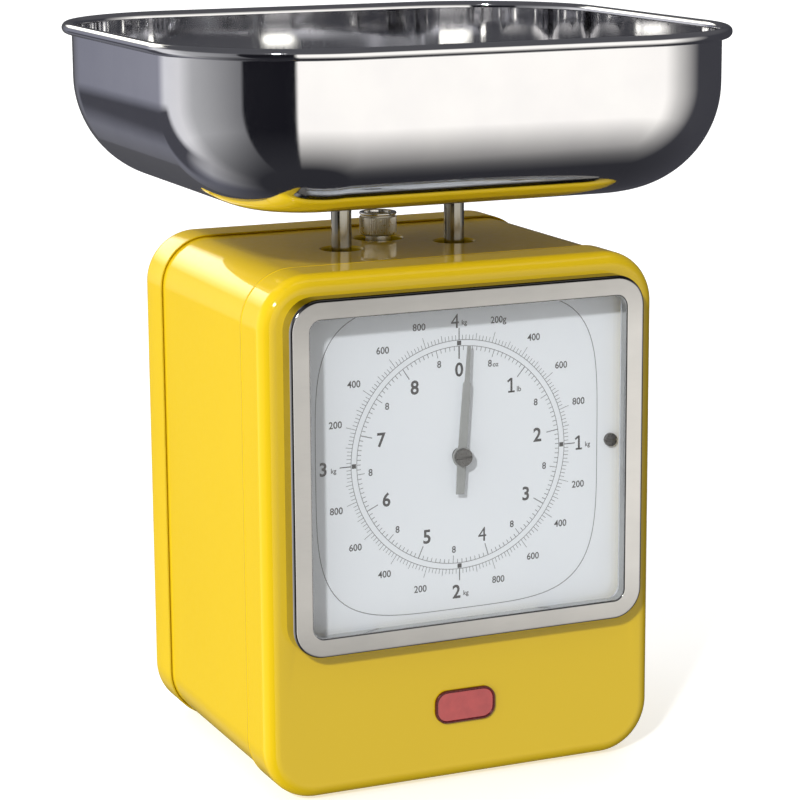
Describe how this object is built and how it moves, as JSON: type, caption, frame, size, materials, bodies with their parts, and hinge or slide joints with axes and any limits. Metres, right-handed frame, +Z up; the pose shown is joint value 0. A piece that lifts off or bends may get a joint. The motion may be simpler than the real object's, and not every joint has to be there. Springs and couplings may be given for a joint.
{
  "type": "kitchen scale",
  "caption": "Retro kitchen scale: polished rounded bowl on two posts over a gloss painted box housing with a steel-framed round-scale dial, sprung lever movement and zero knob.",
  "frame": {"origin": "centre of the bowl projected onto the plane the feet stand on", "axes": "+Z up, the dial faces -Y, +X to the right of a person facing the dial"},
  "size_m": [0.2298, 0.2138, 0.2863],
  "materials": {
    "yellow_paint": "high gloss enamel",
    "polished_steel": "mirror polished stainless steel",
    "satin_steel": "satin stainless steel, polished sides",
    "bright_steel": "turned, bright",
    "zinc_steel": "zinc plated sheet",
    "knurled_metal": "knurled, dull",
    "rubber": "matt black",
    "grey_seal": "light grey, matt",
    "clear_lens": "clear, polished",
    "badge_enamel": "red enamel in a steel rim",
    "dial_white": "satin white with black print",
    "pointer_grey": "satin grey",
    "dark_cap": "dark burnished",
    "nylon": "natural nylon",
    "brass": "machined",
    "spring_steel": "oil tempered wire"
  },
  "bodies": {
    "housing": {"front_shell": "yellow_paint", "centre_wrap": "yellow_paint", "rear_cover": "yellow_paint", "rear_brackets": "zinc_steel", "rear_cover_screws": "bright_steel", "shell_screws": "bright_steel", "feet": "rubber", "foot_screws": "bright_steel", "foot_nuts": "zinc_steel", "bezel": "satin_steel", "bezel_tabs": "satin_steel", "lens": "clear_lens", "lens_gasket": "grey_seal", "badge": "badge_enamel", "dial_plate": "dial_white", "dial_screws": "zinc_steel", "dial_strap": "zinc_steel", "strap_spacers": "zinc_steel", "frame_base": "zinc_steel", "frame_screws": "bright_steel", "frame_side_left": "zinc_steel", "frame_side_right": "zinc_steel", "frame_front": "zinc_steel", "frame_top": "zinc_steel", "post_bushes": "nylon", "pinion_bridge": "zinc_steel", "bridge_pillars": "brass", "front_bush": "brass", "rack_guide": "nylon", "upper_pivot_pin": "bright_steel", "lower_pivot_pin": "bright_steel"},
    "carrier": {"carrier": "zinc_steel", "posts": "bright_steel", "post_nuts": "zinc_steel", "platform": "zinc_steel", "platform_screws": "bright_steel", "platform_pads": "rubber"},
    "bowl": {"bowl": "polished_steel"},
    "upper_lever": {"upper_lever": "zinc_steel", "upper_link_pin": "bright_steel"},
    "lower_lever": {"lower_lever": "zinc_steel", "lower_link_pin": "bright_steel", "rack_pin": "bright_steel"},
    "rack": {"rack": "brass"},
    "pointer": {"pinion": "brass", "pointer_shaft": "bright_steel", "pointer": "pointer_grey", "pointer_cap": "dark_cap"},
    "zero_adjuster": {"zero_knob": "knurled_metal", "zero_screw": "bright_steel"},
    "spring_seat": {"spring_seat": "zinc_steel", "main_spring": "spring_steel"}
  },
  "joints": [
    {"name": "load_slide", "type": "slide", "parent": "housing", "child": "carrier", "axis": [0, 0, -1], "range_m": [0, 0.009], "stiffness_N_per_m": 4360, "springref_m": -0.0035, "deforming": ["main_spring"]},
    {"name": "bowl_lift", "type": "slide", "parent": "carrier", "child": "bowl", "axis": [0, 0, 1], "range_m": [0, 0.06]},
    {"name": "upper_lever_turn", "type": "hinge", "parent": "housing", "child": "upper_lever", "pos_m": [0, 0.034, 0.16], "axis": [1, 0, 0], "range_deg": [0, 13]},
    {"name": "lower_lever_turn", "type": "hinge", "parent": "housing", "child": "lower_lever", "pos_m": [0, 0.034, 0.09], "axis": [1, 0, 0], "range_deg": [0, 13]},
    {"name": "rack_slide", "type": "slide", "parent": "housing", "child": "rack", "axis": [0, 0, -1], "range_m": [0, 0.0142]},
    {"name": "pointer_turn", "type": "hinge", "parent": "housing", "child": "pointer", "pos_m": [0, 0, 0.1278], "axis": [0, 1, 0], "range_deg": [0, 361]},
    {"name": "zero_knob_turn", "type": "hinge", "parent": "housing", "child": "zero_adjuster", "pos_m": [0, 0.014, 0.2], "axis": [0, 0, 1], "range_deg": [-182, 182]},
    {"name": "spring_seat_slide", "type": "slide", "parent": "housing", "child": "spring_seat", "axis": [0, 0, 1], "range_m": [-0.0004, 0.0004]}
  ],
  "couplings": [
    {"joint": "upper_lever_turn", "follows": "load_slide", "rad_per_m": 25.053},
    {"joint": "lower_lever_turn", "follows": "load_slide", "rad_per_m": 25.053},
    {"joint": "rack_slide", "follows": "load_slide", "ratio": 1.5708},
    {"joint": "pointer_turn", "follows": "load_slide", "rad_per_m": 698.13},
    {"joint": "zero_knob_turn", "follows": "spring_seat_slide", "rad_per_m": 7854}
  ]
}
